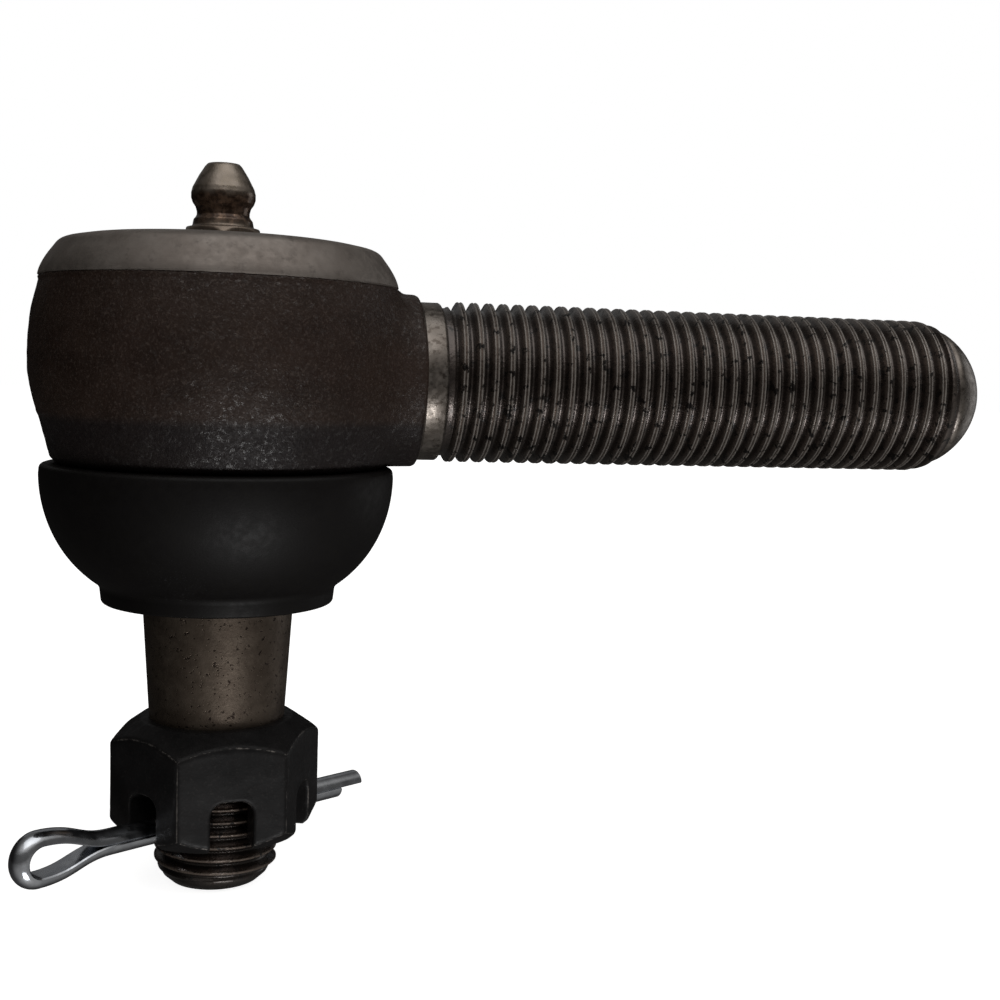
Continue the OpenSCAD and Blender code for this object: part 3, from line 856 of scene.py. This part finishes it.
def nut():
    """Castle nut: chamfered hexagon with six round-roofed slots."""
    low, high = NUT_LO.z, NUT_HI.z
    corner = NUT_FLAT / math.cos(TAU / 12)
    envelope = turned_field([
        (6.45, low), (8.6, low), (corner + 0.1, low + 1.6), (corner + 0.1, high - 2.2), (7.4, high),
        (6.35, high), (6.02, high - 0.35), (6.02, low + 0.45)], 0.04)
    flats = [NUT_TURN + TAU * (i + 0.5) / 6 for i in range(3)]
    slots = [PIN_TURN + TAU * i / 6 for i in range(3)]

    def surfaces(p):
        x, y, z = p.T
        found = [np.abs(x * math.cos(a) + y * math.sin(a)) - NUT_FLAT for a in flats]
        found.append(envelope(np.hypot(x, y), z))
        for a in slots:
            aside = np.abs(y * math.cos(a) - x * math.sin(a))
            over = np.maximum(z - (SLOT_ROOF - SLOT_ROUND), 0)
            beyond = np.maximum(aside - (SLOT_HALF - SLOT_ROUND), 0)
            found.append(SLOT_ROUND - np.hypot(beyond, over))
        return found

    def field(p):
        found = surfaces(p)
        total = found[0]
        for other in found[1:]:
            total = smooth_max(total, other, 0.34)
        return total

    reach = corner + 0.5
    verts, faces = field_surface(field, (-reach, -reach, low - 0.4), (reach, reach, high + 0.4), 0.17)
    ranked = np.sort(np.stack(surfaces(verts)), 0)
    outer = smoothstep(np.hypot(verts[:, 0], verts[:, 1]), 6.6, 7.4)
    # Share along the outer edges that the material paints as bare steel from wear and as a painted
    # highlight.
    edge_wear_and_highlight = np.exp(-(ranked[-1] - ranked[-2]) / 0.16) * outer
    lumps = 0.035 * grain(verts, 3.0, 3, 5.0)
    dents = 0.05 * edge_wear_and_highlight * np.maximum(grain(verts, 0.9, 2, 9.0), 0)
    verts = verts + slope(field, verts) * (lumps - dents)[:, None]
    obj = finish_mesh("nut", verts, faces)
    attribute = obj.data.attributes.new("edge_wear_and_highlight", "FLOAT", "POINT")
    attribute.data.foreach_set("value", edge_wear_and_highlight.astype(np.float32))
    dress(obj, "stud", [oxide_material()], ["castle_nut"])


def s_curve(a, b, reach, steps):
    """An S curve from a to b that leaves and arrives along the first axis."""
    t = np.linspace(0, 1, steps)[:, None]
    a, b = np.array(a), np.array(b)
    c, d = a + np.array((reach, 0)), b - np.array((reach, 0))
    return (1 - t) ** 3 * a + 3 * t * (1 - t) ** 2 * c + 3 * t * t * (1 - t) * d + t ** 3 * b


def pin():
    """Split pin: half-round wire, doubled back on itself round an open eye."""
    half, eye_r, gap = 1.22, 1.42, 0.02
    eye_reach, leg_reach, short_reach, neck = 22.8, 19.5, 16.5, -12.6
    eye_u = half + eye_r - eye_reach
    lower = s_curve((neck, -gap), (eye_u, -eye_r), -3.6, 22)
    bow = np.array([(eye_u - eye_r * math.sin(a), -eye_r * math.cos(a))
                    for a in np.linspace(0, math.pi, 33)])
    upper = s_curve((eye_u, eye_r), (neck, gap), 3.6, 22)
    short_leg = np.linspace((short_reach, -gap), (neck, -gap), 30)
    long_leg = np.linspace((neck, gap), (leg_reach, gap), 34)
    flat = np.concatenate([short_leg, lower[1:], bow[1:-1], upper, long_leg[1:]])
    heading = np.gradient(flat, axis=0)
    heading /= np.linalg.norm(heading, axis=1)[:, None]
    turn = Matrix.Rotation(PIN_TURN, 3, "Z") @ Matrix.Rotation(PIN_TILT, 3, "Y")
    along, across, up = (np.array(turn @ Vector(v)) for v in ((1, 0, 0), (0, -1, 0), (0, 0, 1)))

    def lift(q):
        return np.outer(q[:, 0], along) + np.outer(q[:, 1], up)

    path = lift(flat) + np.array((0, 0, PIN_Z))
    out = lift(np.stack((-heading[:, 1], heading[:, 0]), 1))
    round_side = [(max(0.02, u), v) for u, v in arc(0, 0, half, -84, 84, 18)]
    section = np.array([(0.0, -half + 0.1)] + round_side + [(0.0, half - 0.1)])
    obj = sweep("pin", path, out, across, section)
    dress(obj, "stud", [zinc_material()], ["cotter_pin"])


# ---------------------------------------------------------------- boot

def boot():
    """Rubber boot: a rounded cup from the socket in to the lip on the stud."""
    r, top, bottom = BOOT_HI.x, BOOT_HI.z, BOOT_LO.z
    crown, rx, rz = -9.6, 11.45, 12.5
    hole, lip, wall = TAPER_TOP_R + 0.02, 11.3, 1.9
    outline = [(hole, bottom + 0.25), (hole + 0.25, bottom), (lip - 0.5, bottom)]
    outline += arc(lip - 0.4, bottom + 0.3, 0.3, -80, -10, 5)
    outline += [(lip, bottom + 1.2), (lip + 0.05, bottom + 1.5)]
    outline += ellipse(r - rx, crown, rx, rz, -57.5, 0, 44)
    outline += arc(r - 0.55, top - 0.5, 0.5, 10, 90, 6)
    outline += [(15.15, top), (15.15, -11.05), (14.5, -11.05), (14.5, -11.7)]
    outline += ellipse(r - rx, crown, rx - wall, rz - wall, -18, -49.5, 24)
    outline += [(lip - 0.6, bottom + 2.6), (hole + 0.3, bottom + 2.6), (hole, bottom + 2.3)]
    outline.append((hole, bottom + 0.25))
    obj = turned_object("boot", plain_rows(outline, 225), sharp_deg=60)
    mesh = obj.data
    co = np.zeros(len(mesh.vertices) * 3)
    mesh.vertices.foreach_get("co", co)
    co = co.reshape(-1, 3)
    around = np.hypot(co[:, 0], co[:, 1]) / MM
    swell = 0.06 * grain(co / MM, 14.0, 2, 4.0) * smoothstep(around, 9, 12)
    co[:, :2] *= (1 + swell / np.maximum(around, 1))[:, None]
    mesh.vertices.foreach_set("co", co.ravel())
    dress(obj, None, [rubber_material()], ["dust_boot"])
    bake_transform(obj)


# ---------------------------------------------------------------- camera, floor and light

def camera():
    """In front of the ball and at its height, turned towards the shank, a bit down and rolled."""
    azimuth, elevation, roll = (math.radians(a) for a in (11.37, 5.12, 1.76))
    level = Vector((math.cos(azimuth), -math.sin(azimuth), 0))
    ahead = Vector((math.sin(azimuth) * math.cos(elevation), math.cos(azimuth) * math.cos(elevation),
                    -math.sin(elevation)))
    above = level.cross(ahead)
    right = math.cos(roll) * level + math.sin(roll) * above
    up = math.cos(roll) * above - math.sin(roll) * level
    data = bpy.data.cameras.new("camera")
    data.lens = 49.3
    data.sensor_width = 36
    data.clip_start = 0.005
    obj = bpy.data.objects.new("camera", data)
    obj.matrix_world = (Matrix.Translation((0.00057, -0.13649, 0.00066))
                        @ Matrix((right, up, -ahead)).transposed().to_4x4())
    bpy.context.scene.collection.objects.link(obj)
    bpy.context.scene.camera = obj


def floor():
    """Plain pale floor at the level of the stud's end. It glows, so that it looks even.

    Only the camera sees it: light from below passes through, and none bounces off it.
    """
    bpy.ops.mesh.primitive_plane_add(size=6, location=(0, 0, CAD_BOX[0].z - 0.0002))
    obj = bpy.context.object
    obj.name = "floor"
    s = Shader("floor", Base_Color=(0.9, 0.9, 0.9), Roughness=0.9)
    s.set("Emission Color", (1.0, 1.0, 1.0))
    s.set("Emission Strength", 0.9)
    obj.data.materials.append(s.material)
    for ray in ("visible_diffuse", "visible_glossy", "visible_transmission", "visible_shadow"):
        setattr(obj, ray, False)


def soft_box(name, direction, distance, size, power):
    """An area light that looks at the middle of the part from a direction."""
    data = bpy.data.lights.new(name, "AREA")
    data.shape = "RECTANGLE"
    data.size, data.size_y = size
    data.energy = power
    obj = bpy.data.objects.new(name, data)
    middle = Vector((0.02, 0, -0.01))
    back = Vector(direction).normalized()
    obj.location = middle + back * distance
    obj.rotation_euler = back.to_track_quat("Z", "Y").to_euler()
    obj.visible_camera = False
    bpy.context.scene.collection.objects.link(obj)


def from_angles(azimuth, elevation):
    """Direction seen from the part: azimuth 0 is the front and 90 the shank's end."""
    a, e = math.radians(azimuth), math.radians(elevation)
    return math.sin(a) * math.cos(e), -math.cos(a) * math.cos(e), math.sin(e)


def room():
    """White to the camera. To the part it is a dim room, darkest at eye level and behind."""
    world = bpy.data.worlds.new("room")
    bpy.context.scene.world = world
    world.use_nodes = True
    nodes, links = world.node_tree.nodes, world.node_tree.links
    place = nodes.new("ShaderNodeTexCoord").outputs["Generated"]

    split = nodes.new("ShaderNodeSeparateXYZ")
    links.new(place, split.inputs[0])
    spread = nodes.new("ShaderNodeMapRange")
    spread.inputs["From Min"].default_value = -1
    links.new(split.outputs["Z"], spread.inputs["Value"])
    ramp = nodes.new("ShaderNodeValToRGB")
    links.new(spread.outputs["Result"], ramp.inputs["Fac"])
    levels = [(0.0, 0.36), (0.40, 0.18), (0.47, 0.07), (0.70, 0.09), (0.82, 0.55), (1.0, 1.1)]
    ramp.color_ramp.elements[0].position = levels[0][0]
    ramp.color_ramp.elements[1].position = levels[-1][0]
    for position, _ in levels[1:-1]:
        ramp.color_ramp.elements.new(position)
    for element, (_, value) in zip(ramp.color_ramp.elements, levels):
        element.color = (value, value * 0.97, value * 0.93, 1)

    front = nodes.new("ShaderNodeVectorMath")
    front.operation = "DOT_PRODUCT"
    front.inputs[1].default_value = (0.4, -0.95, 0)
    links.new(place, front.inputs[0])
    shade = nodes.new("ShaderNodeMapRange")
    shade.interpolation_type = "SMOOTHSTEP"
    for socket, value in (("From Min", -0.42), ("From Max", 0.8), ("To Min", 0.12), ("To Max", 1.0)):
        shade.inputs[socket].default_value = value
    links.new(front.outputs["Value"], shade.inputs["Value"])

    dim = nodes.new("ShaderNodeMix")
    dim.data_type = "RGBA"
    dim.blend_type = "MULTIPLY"
    dim.inputs[0].default_value = 1
    links.new(ramp.outputs["Color"], dim.inputs[6])
    links.new(shade.outputs["Result"], dim.inputs[7])
    choose = nodes.new("ShaderNodeMix")
    choose.data_type = "RGBA"
    choose.inputs[7].default_value = (1, 1, 1, 1)
    links.new(nodes.new("ShaderNodeLightPath").outputs["Is Camera Ray"], choose.inputs[0])
    links.new(dim.outputs[2], choose.inputs[6])
    links.new(choose.outputs[2], nodes["Background"].inputs["Color"])


def light():
    """The room and four soft boxes."""
    room()
    soft_box("key", from_angles(18, -43), 0.7, (0.28, 0.16), 1.35)
    soft_box("overhead", from_angles(20, 70), 0.9, (1.1, 0.9), 1.9)
    soft_box("side", from_angles(114, 2), 0.8, (0.3, 0.5), 0.3)
    soft_box("back", from_angles(188, 28), 0.9, (0.9, 0.5), 0.15)
    bpy.context.scene.view_settings.view_transform = "Standard"


# ---------------------------------------------------------------- the rest of the CAD pieces

def inner_pieces():
    """Finishes for the CAD pieces inside, which keep their own shape."""
    seat = seat_material()
    for node, slot, material in (
        ("nipple_ball", "ball_steel", inner_metal("check_ball", (0.62, 0.62, 0.63), 0.08)),
        ("disc_spring", "spring_steel", inner_metal("disc_steel", (0.25, 0.25, 0.27), 0.25)),
        ("boot_top_ring", "spring_steel", inner_metal("ring_steel", (0.33, 0.33, 0.34), 0.3)),
        ("boot_lip_ring", "spring_steel", inner_metal("lip_ring_steel", (0.33, 0.33, 0.34), 0.3)),
        ("upper_seat", "seat_plastic", seat),
        ("lower_seat", "seat_plastic", seat),
    ):
        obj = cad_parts[node]
        obj.data.materials.clear()
        obj.data.materials.append(material)


camera()
forging()
rim()
shank()
cover()
nipple()
nipple_coil()
stud()
nut()
pin()
boot()
inner_pieces()
disc_flattens()
floor()
light()

bpy.context.view_layer.update()
